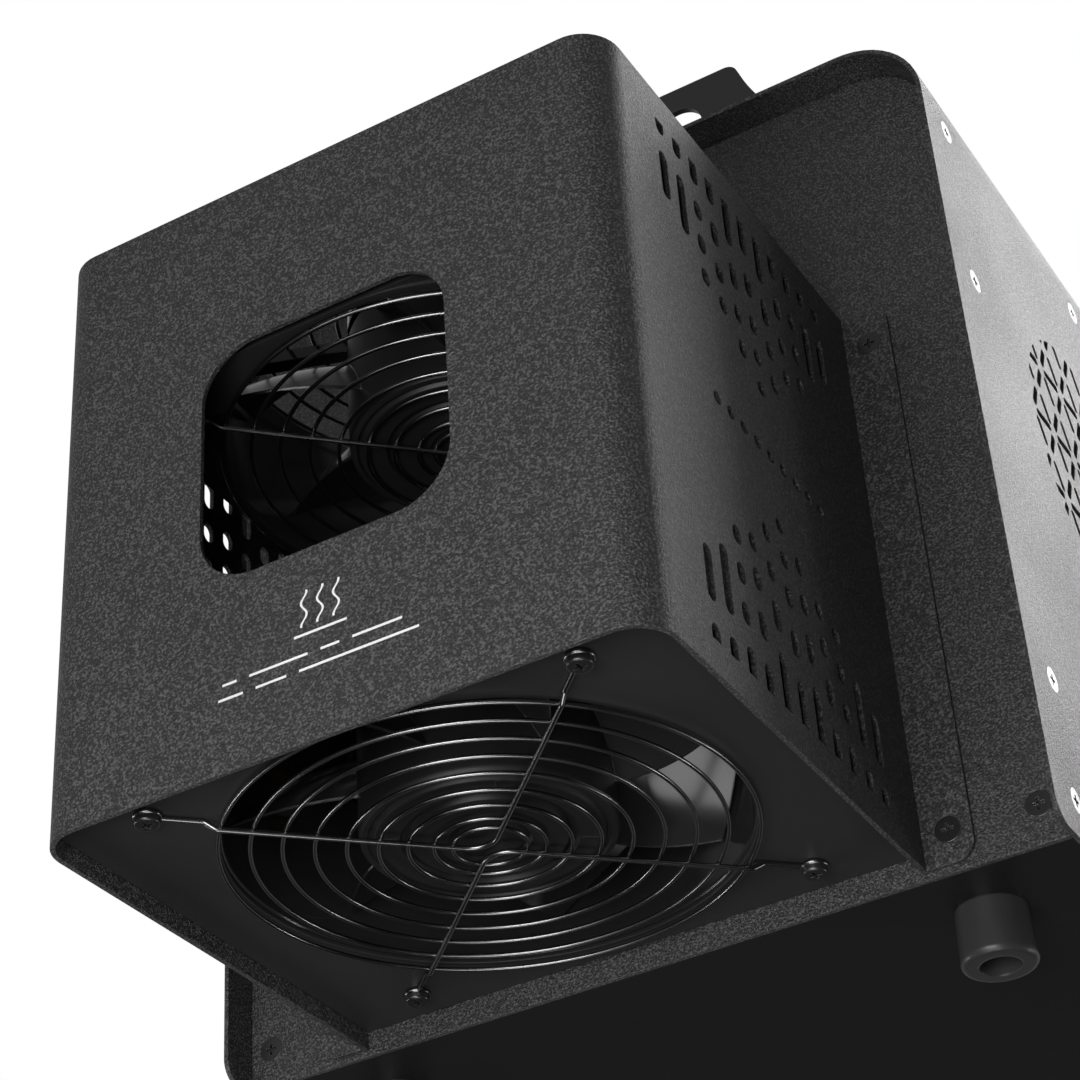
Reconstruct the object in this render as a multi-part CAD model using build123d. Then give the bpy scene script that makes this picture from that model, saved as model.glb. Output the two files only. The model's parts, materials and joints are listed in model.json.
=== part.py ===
from build123d import *
import os
from math import cos, radians, sin

# Stage fog machine with a twin-fan fog hood.
#
# Working frame of the functions: X across the machine, Y from the face of the front panel to the
# rear, Z up from the underside of the body. export_all() moves every piece to the model frame, whose
# origin is on the floor under the middle of the machine.

# ---- driving dimensions, millimetres ----
SHEET = 1.2                 # steel sheet of the casing
GAP = 0.15                  # assembly gap between nested sheets

BODY_W = 219.0              # casing, across
BODY_H = 238.7              # casing, underside to top
BODY_L = 390.0              # front panel face to rear edge of the cover
BEND_R = 22.0               # top bends of the cover
OVERHANG = 10.0             # cover edge in front of the front panel and behind the rear panel
REAR_Y = BODY_L - OVERHANG  # outer face of the rear panel

HOOD_W = 149.6
HOOD_D = 126.7              # hood front face to front panel
HOOD_LOW = 1.7
HOOD_TOP = 159.8
HOOD_BEND = 10.0
FLANGE_W = 12.1             # rear flanges of the hood
FLANGE_CORNER = 5.0
WINDOW = 64.0               # square fog outlet
WINDOW_R = 14.0
WINDOW_Z = 81.0

FAN = 120.0                 # hood fans
FAN_DEPTH = 38.0
FAN_HOLES = 105.0           # screw square of the fans
FAN_Y = -63.5
PLATE = 1.0                 # fan plates of the hood
PLATE_LOW_Z = 6.3           # underside of the lower fan plate
UPPER_FAN_Z = 113.4         # underside of the upper fan
LOWER_FAN_Z = PLATE_LOW_Z + PLATE
PLATE_TOP_Z = UPPER_FAN_Z + FAN_DEPTH

RING_RADII = (8.2, 12.2, 17.8, 24.2, 31.0, 37.9, 44.8, 51.7, 58.6)
RING_WIRE = 0.5             # wire radius of the rings
SPOKE_WIRE = 0.6
RING_DROP = 1.4             # ring plane under the face that the guard is screwed to

FOOT_H = 14.0
FOOT_R = 9.0
FOOT_X = 80.3
FOOT_INSET = 22.0           # foot centres from the panel faces

SCREW_HEAD = 3.2            # countersunk M4 head radius
SCREW_SHANK = 1.9
SCREW_DEPTH = 9.0
PAN_HEAD = 2.9

SIDE_SCREW_INSET = 4.7      # cover screws from the panel faces
SIDE_SCREW_Z = (10.4, 42.0, 160.4, 211.6)
TOP_ROW_PITCH = 88.9        # cover screws along the top rail

VENT_Y = 76.5               # round side vent
VENT_Z = 140.0
VENT_R = 41.5
COOLING_FAN = 80.0
COOLING_DEPTH = 25.0

BRACKET_T = 2.0             # hanging brackets
BRACKET_H = 35.3
BRACKET_TOP = 50.6          # half width at the top edge
BRACKET_BASE = 66.0         # half width at the foot
BRACKET_HOLE_X = 31.5
BRACKET_HOLE_Z = 19.8
BRACKET_HOLE_R = 7.5
BRACKET_Y = 10.0            # plate face behind the front panel face

NOZZLE_Z = 81.0
HEATER_W, HEATER_L, HEATER_T = 60.0, 155.0, 50.0
HEATER_Y = 25.0
WRAP = 12.0                 # insulation around the heater
TANK_W, TANK_L, TANK_H = 140.0, 100.0, 150.0
TRAY_SLOTS = 7              # cooling slots on each side of the tray
TRAY_SLOT_Y = 150.0

TANK_Y = 247.0
TANK_Z = 22.0
TANK_WALL = 2.5
NECK_R = 20.0
PUMP_Y = 218.0
PUMP_Z = 48.0
HOSE_R = 3.0

LID_Y0, LID_Y1, LID_HALF = 242.0, 334.0, 52.0
LID_PIN_R = 1.5
HANDLE_Y = 140.0
HANDLE_HALF = 62.0
HANDLE_ROD = 4.5
HANDLE_REACH = 42.0
HANDLE_Z = BODY_H + 8.0
PIN_CLEARANCE = 0.05        # radial, for parts that turn

BUTTON_X = (-36.0, -12.0, 12.0, 36.0)
BUTTON_Z = 156.0
BUTTON_R = 4.5
DISPLAY_Z = 188.0
SOCKET_Z = 112.0
DMX_X = (-78.0, -42.0)
INLET_X = 62.0
SWITCH_X, SWITCH_Z = 62.0, 66.0
FUSE_X = 22.0
FUSE_Z = 66.0
ROCKER_TILT = 7.0

FACING = {
    "+x": Rot(0, 90, 0), "-x": Rot(0, -90, 0),
    "+y": Rot(-90, 0, 0), "-y": Rot(90, 0, 0),
    "+z": Rot(0, 0, 0), "-z": Rot(180, 0, 0),
}


# ---- small helpers ----
def block(x, y, z):
    """Box between the low and high values of each axis."""
    size = [high - low for low, high in (x, y, z)]
    middle = [(high + low) / 2 for low, high in (x, y, z)]
    return Pos(*middle) * Box(*size)


def rod(place, radius, length, way="+z"):
    """Cylinder that starts at place and runs its length towards way."""
    low = (Align.CENTER, Align.CENTER, Align.MIN)
    return Pos(*place) * FACING[way] * Cylinder(radius, length, align=low)


def tube(place, outer, inner, length, way="+z"):
    return rod(place, outer, length, way) - rod(place, inner, length, way)


def countersink(place, way, extra=0.0, depth=SCREW_DEPTH):
    """Countersunk head, outer face at place, shank running away from way."""
    cone_h = SCREW_HEAD - SCREW_SHANK
    low = (Align.CENTER, Align.CENTER, Align.MAX)
    head = Cone(SCREW_SHANK + extra, SCREW_HEAD + extra, cone_h, align=low)
    shank = Cylinder(SCREW_SHANK + extra, depth, align=low)
    return Pos(*place) * FACING[way] * (head + shank)


def cross_recess(arm, depth):
    bars = Box(2 * arm, arm * 0.5, 2 * depth) + Box(arm * 0.5, 2 * arm, 2 * depth)
    return bars


def countersunk_screw(place, way):
    screw = countersink((0, 0, 0), "+z") - cross_recess(1.5, 0.9)
    return Pos(*place) * FACING[way] * screw


def pan_screw(place, way, head=PAN_HEAD, height=2.4, shank=1.6, depth=9.0):
    """Pan head with its underside at place, shank running away from way."""
    cap = Cylinder(head, height, align=(Align.CENTER, Align.CENTER, Align.MIN))
    cap = fillet(cap.edges().group_by(Axis.Z)[-1], height * 0.4)
    stem = Cylinder(shank, depth, align=(Align.CENTER, Align.CENTER, Align.MAX))
    recess = Pos(0, 0, height) * cross_recess(head * 0.5, 1.1)
    return Pos(*place) * FACING[way] * (cap + stem - recess)


def mirrored(shape):
    """The shape and its mirror image across the middle of the machine."""
    return [shape, mirror(shape, about=Plane.YZ)]


def save(name, *shapes):
    """Move the solids to the model frame and write the node."""
    place = Pos(0, (HOOD_D - BODY_L) / 2, FOOT_H)
    solids = []
    for shape in shapes:
        solids += [place * solid for solid in shape.solids()]
    shape = solids[0] if len(solids) == 1 else Compound(children=solids)
    export_step(shape, f"parts/{name}.step")


# ---- casing ----
def top_bend_section(half, top, radius):
    """Upright section with two round top corners and its foot on the ground line."""
    face = Pos(0, top / 2) * Rectangle(2 * half, top)
    return fillet(face.vertices().group_by(Axis.Y)[-1], radius)


def upright(section, y0, length):
    """Extrude a section drawn in X and Z from y0 towards the rear."""
    return extrude(Plane((0, y0, 0), x_dir=(1, 0, 0), z_dir=(0, -1, 0)) * section, -length)


def side_screw_places():
    ends = (SIDE_SCREW_INSET, REAR_Y - SIDE_SCREW_INSET)
    places = [(y, z) for y in ends for z in SIDE_SCREW_Z]
    for step in (1, 2, 3):
        y = SIDE_SCREW_INSET + step * TOP_ROW_PITCH
        places += [(y, SIDE_SCREW_Z[0]), (y, SIDE_SCREW_Z[-1])]
    return places


def vent_sketch():
    """Isogrid of short slots inside a circle, drawn about the vent's centre."""
    pitch, row, rise = 14.0, 21.6, 5.65
    flat = SlotOverall(9.6, 2.5)
    slant = SlotOverall(8.4, 2.3)
    slots = Sketch()
    for column in range(-3, 3):
        for level in range(-2, 3):
            centre = Pos((column + 0.5) * pitch, level * row)
            slots += centre * flat
            for side in (-1, 1):
                for above in (-1, 1):
                    lean = Rot(0, 0, -62 * side * above)
                    slots += centre * Pos(side * pitch / 4, above * rise) * lean * slant
    return slots & Circle(VENT_R)


def body_cover():
    outer = top_bend_section(BODY_W / 2, BODY_H, BEND_R)
    inner = top_bend_section(BODY_W / 2 - SHEET, BODY_H - SHEET, BEND_R - SHEET)
    cover = upright(outer - inner, -OVERHANG, BODY_L + OVERHANG)
    side = Pos(BODY_L / 2 - OVERHANG / 2, BODY_H / 2) * Rectangle(BODY_L + OVERHANG, BODY_H)
    side = fillet(side.vertices().group_by(Axis.Y)[0], 6.0)
    side_plane = Plane((0, 0, 0), x_dir=(0, 1, 0), z_dir=(1, 0, 0))
    cover &= extrude(side_plane * side, BODY_W, both=True)
    vents = extrude(side_plane * Pos(VENT_Y, VENT_Z) * vent_sketch(), BODY_W, both=True)
    cover -= vents
    for y, z in side_screw_places():
        cover -= countersink((BODY_W / 2, y, z), "+x", 0.08)
        cover -= countersink((-BODY_W / 2, y, z), "-x", 0.08)
    cover -= block((-LID_HALF + 8, LID_HALF - 8), (LID_Y0 + 8, LID_Y1 - 12), (BODY_H - 9, BODY_H + 9))
    for x, y in bracket_screw_places() + handle_screw_places():
        cover -= rod((x, y, BODY_H - 9), 2.1, 18)
    return cover


def end_panel(cutters):
    """Flat end panel with side returns for the cover screws, face at y = 0."""
    half = BODY_W / 2 - SHEET - GAP
    panel = upright(top_bend_section(half, BODY_H - SHEET - GAP, BEND_R - SHEET), 0, SHEET)
    for side in (-1, 1):
        low, high = sorted((side * half, side * (half - SHEET)))
        panel += block((low, high), (0, 12), (22, 216))
        for z in SIDE_SCREW_Z[1:]:
            panel -= rod((side * (half + 1), SIDE_SCREW_INSET, z), SCREW_SHANK + 0.1, 8,
                         "-x" if side > 0 else "+x")
        panel -= countersink((side * 102.4, 0, 10.1), "-y", 0.08)
    for cutter in cutters:
        panel -= cutter
    return panel


def hood_screw_places():
    return [(side * 81.2, z) for side in (-1, 1) for z in (10.2, 149.6)]


def front_panel():
    cutters = [rod((0, -5, NOZZLE_Z), 9.0, 10, "+y"), rod((-67, -5, NOZZLE_Z), 4.4, 10, "+y")]
    for x, z in hood_screw_places():
        cutters.append(rod((x, -5, z), SCREW_SHANK + 0.1, 12, "+y"))
    return end_panel(cutters)


def rear_panel():
    """Rear panel drawn facing forwards, then turned to face the rear."""
    def hole(x, z, radius):
        return rod((-x, -5, z), radius, 10, "+y")

    cutters = [block((-34, 34), (-5, 5), (DISPLAY_Z - 12, DISPLAY_Z + 12))]
    cutters += [hole(x, BUTTON_Z, BUTTON_R + 0.4) for x in BUTTON_X]
    cutters += [hole(x, SOCKET_Z, 12.1) for x in DMX_X]
    cutters += [hole(FUSE_X, FUSE_Z, 6.6)]
    cutters += [block((-INLET_X - 15, -INLET_X + 15), (-5, 5), (SOCKET_Z - 12, SOCKET_Z + 12))]
    cutters += [block((-SWITCH_X - 14, -SWITCH_X + 14), (-5, 5), (SWITCH_Z - 10, SWITCH_Z + 10))]
    for column in range(9):
        for level in (26, 40):
            x = -88 + column * 9
            cutters.append(block((x - 1.6, x + 1.6), (-5, 5), (level - 5, level + 5)))
    return Pos(0, REAR_Y, 0) * Rot(0, 0, 180) * end_panel(cutters)


def base_tray():
    half = BODY_W / 2 - SHEET - GAP
    y0, y1 = SHEET + GAP, REAR_Y - SHEET - GAP
    tray = block((-half, half), (y0, y1), (0, SHEET))
    for side in (-1, 1):
        low, high = sorted((side * half, side * (half - SHEET)))
        tray += block((low, high), (y0, y1), (0, 20))
    tray += block((-half, half), (y0, y0 + SHEET), (0, 20))
    tray += block((-half, half), (y1 - SHEET, y1), (0, 20))
    for x, y in foot_places():
        tray -= rod((x, y, -1), 2.2, 5)
    for x, z in hood_screw_places():
        if z < 20:
            tray -= rod((x, -1, z), SCREW_SHANK + 0.1, 5, "+y")
    for side in (-1, 1):
        tray -= rod((side * 102.4, -1, 10.1), SCREW_SHANK + 0.1, REAR_Y + 5, "+y")
        for y, z in side_screw_places():
            if z < 20:
                way = "-x" if side > 0 else "+x"
                tray -= rod((side * (half + 1), y, z), SCREW_SHANK + 0.1, 8, way)
    for row in range(TRAY_SLOTS):
        for x in (-70, 70):
            y = TRAY_SLOT_Y + row * 12
            tray -= block((x - 18, x + 18), (y - 1.8, y + 1.8), (-1, 3))
    return tray


def top_rails():
    """Angle rails under the top bends that the cover is screwed to."""
    outer = BODY_W / 2 - SHEET - GAP
    rail = block((outer - SHEET, outer), (12.5, REAR_Y - 12.5), (205, 216))
    rail += block((outer - 12, outer), (12.5, REAR_Y - 12.5), (205, 205 + SHEET))
    for step in (1, 2, 3):
        y = SIDE_SCREW_INSET + step * TOP_ROW_PITCH
        rail -= rod((outer + 1, y, SIDE_SCREW_Z[-1]), SCREW_SHANK + 0.1, 8, "-x")
    return mirrored(rail)


def cover_screws():
    screws = []
    for y, z in side_screw_places():
        screws += mirrored(countersunk_screw((BODY_W / 2, y, z), "+x"))
    return screws


def panel_screws(y, way):
    return [countersunk_screw((side * 102.4, y, 10.1), way) for side in (-1, 1)]


# ---- feet ----
def foot_places():
    return [(x, y) for x in (-FOOT_X, FOOT_X) for y in (FOOT_INSET, REAR_Y - FOOT_INSET)]


def feet():
    """Turned feet, a little wider at the ground, with a deep screw well."""
    outline = Polyline((2.2, 0), (FOOT_R - 0.5, 0), (FOOT_R, -FOOT_H), (4.9, -FOOT_H), (4.9, -4),
                       (2.2, -4), close=True)
    section = make_face(Plane.XZ * outline)
    foot = revolve(section, Axis.Z)
    rim = foot.edges().filter_by(GeomType.CIRCLE).sort_by(lambda e: e.center().Z - e.radius)[0]
    foot = fillet(rim, 1.4)
    return [Pos(x, y, 0) * foot for x, y in foot_places()]


def foot_screws():
    screws = []
    for x, y in foot_places():
        screws.append(pan_screw((x, y, -4), "-z", head=3.6, shank=2.0, depth=11))
        screws.append(tube((x, y, SHEET), 3.8, 2.05, 3.2))
    return screws


# ---- hood ----
def hood_section():
    """Plan of the folded hood sheet: front, two sides and two rear flanges."""
    outer = Pos(0, -HOOD_D / 2) * Rectangle(HOOD_W, HOOD_D)
    outer = fillet(outer.vertices().group_by(Axis.Y)[0], HOOD_BEND)
    inner = Pos(0, (SHEET - HOOD_D) / 2) * Rectangle(HOOD_W - 2 * SHEET, HOOD_D - SHEET)
    inner = fillet(inner.vertices().group_by(Axis.Y)[0], HOOD_BEND - SHEET)
    plan = outer - inner
    for side in (-1, 1):
        middle = side * (HOOD_W / 2 + FLANGE_W / 2 - SHEET / 2)
        plan += Pos(middle, -SHEET / 2) * Rectangle(FLANGE_W + SHEET, SHEET)
    return plan


def slot_columns():
    """Low and high ends of the side slots above the hood's mid height, by column from the middle."""
    return (
        ((-70.5, -59.5), (-53.5, -46.5), (-40.5, -35.2), (-30.3, -26.0), (-21.0, -17.0)),
        ((-70.5, -56.5), (-51.0, -43.3), (-38.3, -33.0), (-27.9, -23.0)),
        ((-70.5, -63.5), (-57.5, -50.5), (-45.0, -39.5), (-35.0, -30.3)),
        ((-70.5, -63.5), (-58.0, -52.5), (-47.8, -42.5), (-37.7, -33.0)),
        ((-70.5, -65.5), (-59.8, -42.5)),
        ((-70.5, -66.5), (-60.8, -47.0)),
    )


def side_slot_sketch():
    """Two mirrored fans of upright slots, drawn about the middle of the hood's side."""
    pitch, width = 8.0, 3.8
    slots = Sketch()
    for index, column in enumerate(slot_columns()):
        for low, high in column:
            slot = Rot(0, 0, 90) * SlotOverall(high - low, width)
            if low < -70:
                slot += Pos(0, -(high - low) / 4) * Rectangle(width, (high - low) / 2)
            for side in (-1, 1):
                for level in (-1, 1):
                    turned = slot if level > 0 else Rot(0, 0, 180) * slot
                    slots += Pos(side * index * pitch, level * (low + high) / 2) * turned
    return slots


def accent_sketch():
    """Plain row of round holes at mid height."""
    holes = Sketch()
    for step in range(-4, 5):
        holes += Pos(step * 6.4, 0) * Circle(1.7)
    return holes


def hood_shell():
    plan = hood_section()
    shell = extrude(Pos(0, 0, HOOD_LOW) * plan, HOOD_TOP - HOOD_LOW)
    ends = [e for e in shell.edges().filter_by(Axis.Y) if abs(abs(e.center().X) - 86.9) < 0.2]
    shell = fillet(ends, FLANGE_CORNER)
    window = RectangleRounded(WINDOW, WINDOW, WINDOW_R)
    front = Plane((0, -HOOD_D - 2, WINDOW_Z), x_dir=(1, 0, 0), z_dir=(0, -1, 0))
    shell -= extrude(front * window, -6)
    side_plane = Plane((0, -59.5, 80.5), x_dir=(0, 1, 0), z_dir=(1, 0, 0))
    shell -= extrude(side_plane * (side_slot_sketch() + accent_sketch()), HOOD_W, both=True)
    for x, z in hood_screw_places():
        shell -= countersink((x, -SHEET, z), "-y", 0.08)
    return shell


def fan_plate(z):
    """Flat plate inside the hood, with a round fan opening and four welded tabs."""
    half = HOOD_W / 2 - SHEET - GAP
    front = -HOOD_D + SHEET + GAP
    plate = Pos(0, (front - GAP) / 2) * Rectangle(2 * half, -front - GAP)
    plate = fillet(plate.vertices().group_by(Axis.Y)[0], HOOD_BEND - SHEET - GAP)
    plate -= Pos(0, FAN_Y) * Circle(58.0)
    for x in (-1, 1):
        for y in (-1, 1):
            plate -= Pos(x * FAN_HOLES / 2, FAN_Y + y * FAN_HOLES / 2) * Circle(1.8)
    solid = extrude(Pos(0, 0, z) * plate, PLATE)
    up = 1 if z < 80 else -1
    low, high = sorted((z + PLATE / 2, z + PLATE / 2 + up * 9))
    for side in (-1, 1):
        near, far = sorted((side * half, side * (half - PLATE)))
        for y in (-111, -10):
            solid += block((near, far), (y - 5, y + 5), (low, high))
    return solid


def hood_screws():
    return [countersunk_screw((x, -SHEET, z), "-y") for x, z in hood_screw_places()]


# ---- axial fans ----
def fan_frame(size, depth, bore, hub, holes, hole_r):
    """Square fan frame, open side at z = 0 and motor struts at the far side."""
    flange = 4.0
    frame = extrude(RectangleRounded(size, size, size * 0.045), depth)
    frame -= rod((0, 0, -1), bore, depth + 2)
    for x in (-1, 1):
        for y in (-1, 1):
            frame -= rod((x * holes / 2, y * holes / 2, -1), hole_r, depth + 2)
    motor = rod((0, 0, depth - flange), hub, flange)
    for turn in range(4):
        angle = 20 + 90 * turn
        strut = block((hub - 2, bore + 1), (-2, 2), (depth - flange, depth - 0.5))
        motor += Rot(0, 0, angle) * strut
    motor -= rod((0, 0, depth - flange - 1), 2.0 + PIN_CLEARANCE, flange - 0.5)
    return frame + motor


def fan_rotor(hub, tip, depth, blades, proud):
    """Hub cup with swept, twisted blades that clear the bore."""
    cup = rod((0, 0, -proud), hub, depth - 6 + proud)
    cup = fillet(cup.edges().filter_by(GeomType.CIRCLE).group_by(Axis.Z)[0], hub * 0.03)
    for radius in (hub * 0.36, hub * 0.64):
        cup -= tube((0, 0, -proud - 1), radius + 0.4, radius - 0.4, 1.35)
    cup += rod((0, 0, depth - 7), 2.0, 5.5)
    middle = depth * 0.46
    sections = []
    for share, chord, pitch, sweep in ((0.0, 0.62, 48, 0), (0.55, 0.80, 38, 7), (1.0, 0.98, 30, 16)):
        radius = hub - 1.5 + share * (tip - hub + 3)
        plane = Plane((radius, 0, middle), x_dir=(0, 1, 0), z_dir=(1, 0, 0))
        blade = plane * Rot(0, 0, -pitch) * RectangleRounded(chord * depth, depth * 0.045, depth * 0.02)
        sections.append(Rot(0, 0, -sweep) * blade)
    blade = loft(sections)
    blade &= rod((0, 0, 1.5), tip, depth - 8.5)
    rotor = cup
    for index in range(blades):
        rotor += Rot(0, 0, index * 360 / blades) * blade
    return rotor


def fan_guard():
    """Wire guard under the face z = 0: rings, two bent spoke wires and four screw eyes."""
    eye = FAN_HOLES / 2
    guard = Pos(0, 0, -RING_DROP) * Torus(RING_RADII[0], RING_WIRE)
    for radius in RING_RADII[1:]:
        guard += Pos(0, 0, -RING_DROP) * Torus(radius, RING_WIRE)
    low = -RING_DROP - RING_WIRE - SPOKE_WIRE + 0.2
    reach = eye - 2.7 / 2 ** 0.5
    half = [(reach, reach - 0.2, -SPOKE_WIRE), (44.2, 44.0, -SPOKE_WIRE), (42.2, 42.0, low)]
    points = half + [(0, -0.2, low)] + [(-x, y, z) for x, y, z in reversed(half)]
    path = FilletPolyline(*points, radius=[1.5, 1.5, 6.0, 1.5, 1.5])
    spoke = sweep(Plane(path @ 0, z_dir=path % 0) * Circle(SPOKE_WIRE), path=path)
    guard = guard + spoke + Rot(0, 0, 180) * spoke
    for x in (-1, 1):
        for y in (-1, 1):
            guard += Pos(x * eye, y * eye, -SPOKE_WIRE) * Torus(2.7, SPOKE_WIRE)
    return guard


def fan_screws(z, way):
    """Four pan screws through the guard's eyes; z is the screwed face."""
    step = 2 * SPOKE_WIRE if way == "+z" else -2 * SPOKE_WIRE
    screws = []
    for x in (-1, 1):
        for y in (-1, 1):
            place = (x * FAN_HOLES / 2, FAN_Y + y * FAN_HOLES / 2, z + step)
            screws.append(pan_screw(place, way, height=1.5, depth=6.0))
    return screws


# ---- hanging brackets ----
def bracket_screw_places():
    rear = REAR_Y - BRACKET_Y
    return [(x, y) for x in (-54, 54) for y in (BRACKET_Y + 12, rear - 12)]


def hanging_bracket():
    """Upright plate with flared flanks and two holes, on a screwed foot behind it."""
    foot_line = Polyline((0, BRACKET_H), (0, 0), (BRACKET_BASE, 0), (BRACKET_BASE, 6))
    flank = ThreePointArc((BRACKET_BASE, 6), (56.8, 19.5), (BRACKET_TOP, BRACKET_H))
    top = Line((BRACKET_TOP, BRACKET_H), (0, BRACKET_H))
    half = make_face(foot_line + flank + top)
    corner = half.vertices().sort_by_distance((BRACKET_TOP, BRACKET_H))[0]
    half = fillet(corner, 4.0)
    face = half + mirror(half, about=Plane.YZ)
    for side in (-1, 1):
        face -= Pos(side * BRACKET_HOLE_X, BRACKET_HOLE_Z) * Circle(BRACKET_HOLE_R)
    bracket = Pos(0, 0, BODY_H) * upright(face, BRACKET_Y, BRACKET_T)
    bracket += block((-BRACKET_BASE, BRACKET_BASE), (BRACKET_Y, BRACKET_Y + 22),
                     (BODY_H, BODY_H + BRACKET_T))
    for x in (-54, 54):
        bracket -= rod((x, BRACKET_Y + 12, BODY_H - 1), 2.1, 5)
    return bracket


def turned_to_rear(shape):
    return Pos(0, REAR_Y, 0) * Rot(0, 0, 180) * shape


def bracket_screws():
    screws = [pan_screw((x, y, BODY_H + BRACKET_T), "+z", head=3.6, shank=1.95, depth=6)
              for x, y in bracket_screw_places()]
    screws += [tube((x, y, BODY_H - SHEET - 3), 3.8, 2.0, 3.0) for x, y in bracket_screw_places()]
    return screws


# ---- carrying handle ----
def handle_screw_places():
    return [(side * (HANDLE_HALF - 1), HANDLE_Y - 9) for side in (-1, 1)]


def handle_blocks():
    blocks = []
    for side in (-1, 1):
        x = side * (HANDLE_HALF - 1)
        lug = block((x - 5, x + 5), (HANDLE_Y - 15, HANDLE_Y + 5), (BODY_H, BODY_H + 4))
        lug += block((x - 5, x + 5), (HANDLE_Y - 5, HANDLE_Y + 5), (BODY_H, HANDLE_Z))
        lug += rod((x - 5, HANDLE_Y, HANDLE_Z), 5, 10, "+x")
        lug -= rod((x - 6, HANDLE_Y, HANDLE_Z), 2.5 + PIN_CLEARANCE, 12, "+x")
        lug -= rod((x, HANDLE_Y - 9, BODY_H - 1), 2.1, 8)
        blocks.append(lug)
    return blocks


def carry_handle():
    """Bail folded flat towards the rear, with a thicker grip and two inward pivots."""
    leg = HANDLE_HALF + 9
    points = [(leg, HANDLE_Y, HANDLE_Z), (leg, HANDLE_Y + HANDLE_REACH, HANDLE_Z),
              (-leg, HANDLE_Y + HANDLE_REACH, HANDLE_Z), (-leg, HANDLE_Y, HANDLE_Z)]
    path = FilletPolyline(*points, radius=14)
    bail = sweep(Plane(path @ 0, z_dir=path % 0) * Circle(3.5), path=path)
    bail += rod((-42, HANDLE_Y + HANDLE_REACH, HANDLE_Z), HANDLE_ROD + 1.5, 84, "+x")
    for side in (-1, 1):
        knuckle = side * leg
        bail += Pos(knuckle, HANDLE_Y, HANDLE_Z) * Sphere(4.2)
        start = side * (HANDLE_HALF - 5)
        low, high = sorted((start, knuckle))
        bail += rod((low, HANDLE_Y, HANDLE_Z), 2.5, high - low, "+x")
    return bail


# ---- fog generator ----
def heater_block():
    """Cast block with cooling grooves, a nozzle port in front and an inlet stub behind."""
    y1 = HEATER_Y + HEATER_L
    half, tall = HEATER_W / 2, HEATER_T / 2
    core = block((-half, half), (HEATER_Y, y1), (NOZZLE_Z - tall, NOZZLE_Z + tall))
    core = fillet(core.edges().filter_by(Axis.Y), 5)
    for step in range(7):
        y = HEATER_Y + 16 + step * 20
        core -= block((-half - 1, -half + 3), (y - 3, y + 3), (NOZZLE_Z - tall, NOZZLE_Z + tall))
        core -= block((half - 3, half + 1), (y - 3, y + 3), (NOZZLE_Z - tall, NOZZLE_Z + tall))
    core += rod((0, y1 - 1, NOZZLE_Z), 3.0, 1 + WRAP + 8, "+y")
    core -= rod((0, HEATER_Y - 1, NOZZLE_Z), 4.0, 13, "+y")
    return core


def heater_insulation():
    y1 = HEATER_Y + HEATER_L
    half, tall = HEATER_W / 2 + WRAP, HEATER_T / 2 + WRAP
    wrap = block((-half, half), (HEATER_Y - 8, y1 + 8), (NOZZLE_Z - tall, NOZZLE_Z + tall))
    low, high = NOZZLE_Z - HEATER_T / 2, NOZZLE_Z + HEATER_T / 2
    wrap -= block((-HEATER_W / 2, HEATER_W / 2), (HEATER_Y, y1), (low, high))
    wrap -= rod((0, HEATER_Y - 9, NOZZLE_Z), 8.0, 12, "+y")
    wrap -= rod((0, y1 - 1, NOZZLE_Z), 4.0, 12, "+y")
    wrap -= rod((0, 150, NOZZLE_Z + 20), 9.4, 30)
    return wrap


def heater_case():
    """Folded steel sleeve around the insulation, open at both ends."""
    y0, y1 = HEATER_Y - 8, HEATER_Y + HEATER_L + 8
    half, tall = HEATER_W / 2 + WRAP + GAP, HEATER_T / 2 + WRAP + GAP
    case = block((-half - 1, half + 1), (y0, y1), (NOZZLE_Z - tall - 1, NOZZLE_Z + tall + 1))
    case -= block((-half, half), (y0 - 1, y1 + 1), (NOZZLE_Z - tall, NOZZLE_Z + tall))
    case -= rod((0, 150, NOZZLE_Z + 20), 9.4, 30)
    return case


def heater_stands():
    """Two channel stands between the tray and the heater case."""
    top = NOZZLE_Z - HEATER_T / 2 - WRAP - GAP - 1
    stands = []
    for y in (50, 155):
        stand = block((-36, 36), (y - 12, y + 12), (SHEET, SHEET + 1.5))
        stand += block((-36, 36), (y - 12, y + 12), (top - 1.5, top))
        stand += block((-20, 20), (y - 0.8, y + 0.8), (SHEET, top))
        stands.append(stand)
    return stands


def thermostat():
    top = NOZZLE_Z + HEATER_T / 2
    body = rod((0, 150, top), 8.5, 17)
    body += rod((0, 150, top + 16), 11, 4)
    for x in (-5, 5):
        body += block((x - 0.4, x + 0.4), (146, 154), (top + 19, top + 28))
    return body


def nozzle():
    """Brass stub from the heater through the panel, ending in a tapered jet."""
    stub = rod((0, HEATER_Y + 10, NOZZLE_Z), 4.0 - PIN_CLEARANCE, 11, "-y")
    stub += rod((0, HEATER_Y, NOZZLE_Z), 6.0, HEATER_Y + 8, "-y")
    tip = Cone(6.0, 3.2, 7, align=(Align.CENTER, Align.CENTER, Align.MIN))
    stub += Pos(0, -8, NOZZLE_Z) * FACING["-y"] * tip
    stub -= rod((0, HEATER_Y + 11, NOZZLE_Z), 1.6, HEATER_Y + 40, "-y")
    return stub


def nozzle_nut():
    hexagon = extrude(RegularPolygon(11.5, 6), 5)
    nut = Pos(0, 0, NOZZLE_Z) * FACING["-y"] * hexagon
    nut += rod((0, 0, NOZZLE_Z), 13, 1.5, "-y")
    return nut - rod((0, 1, NOZZLE_Z), 6.0 + GAP, 8, "-y")


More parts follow.
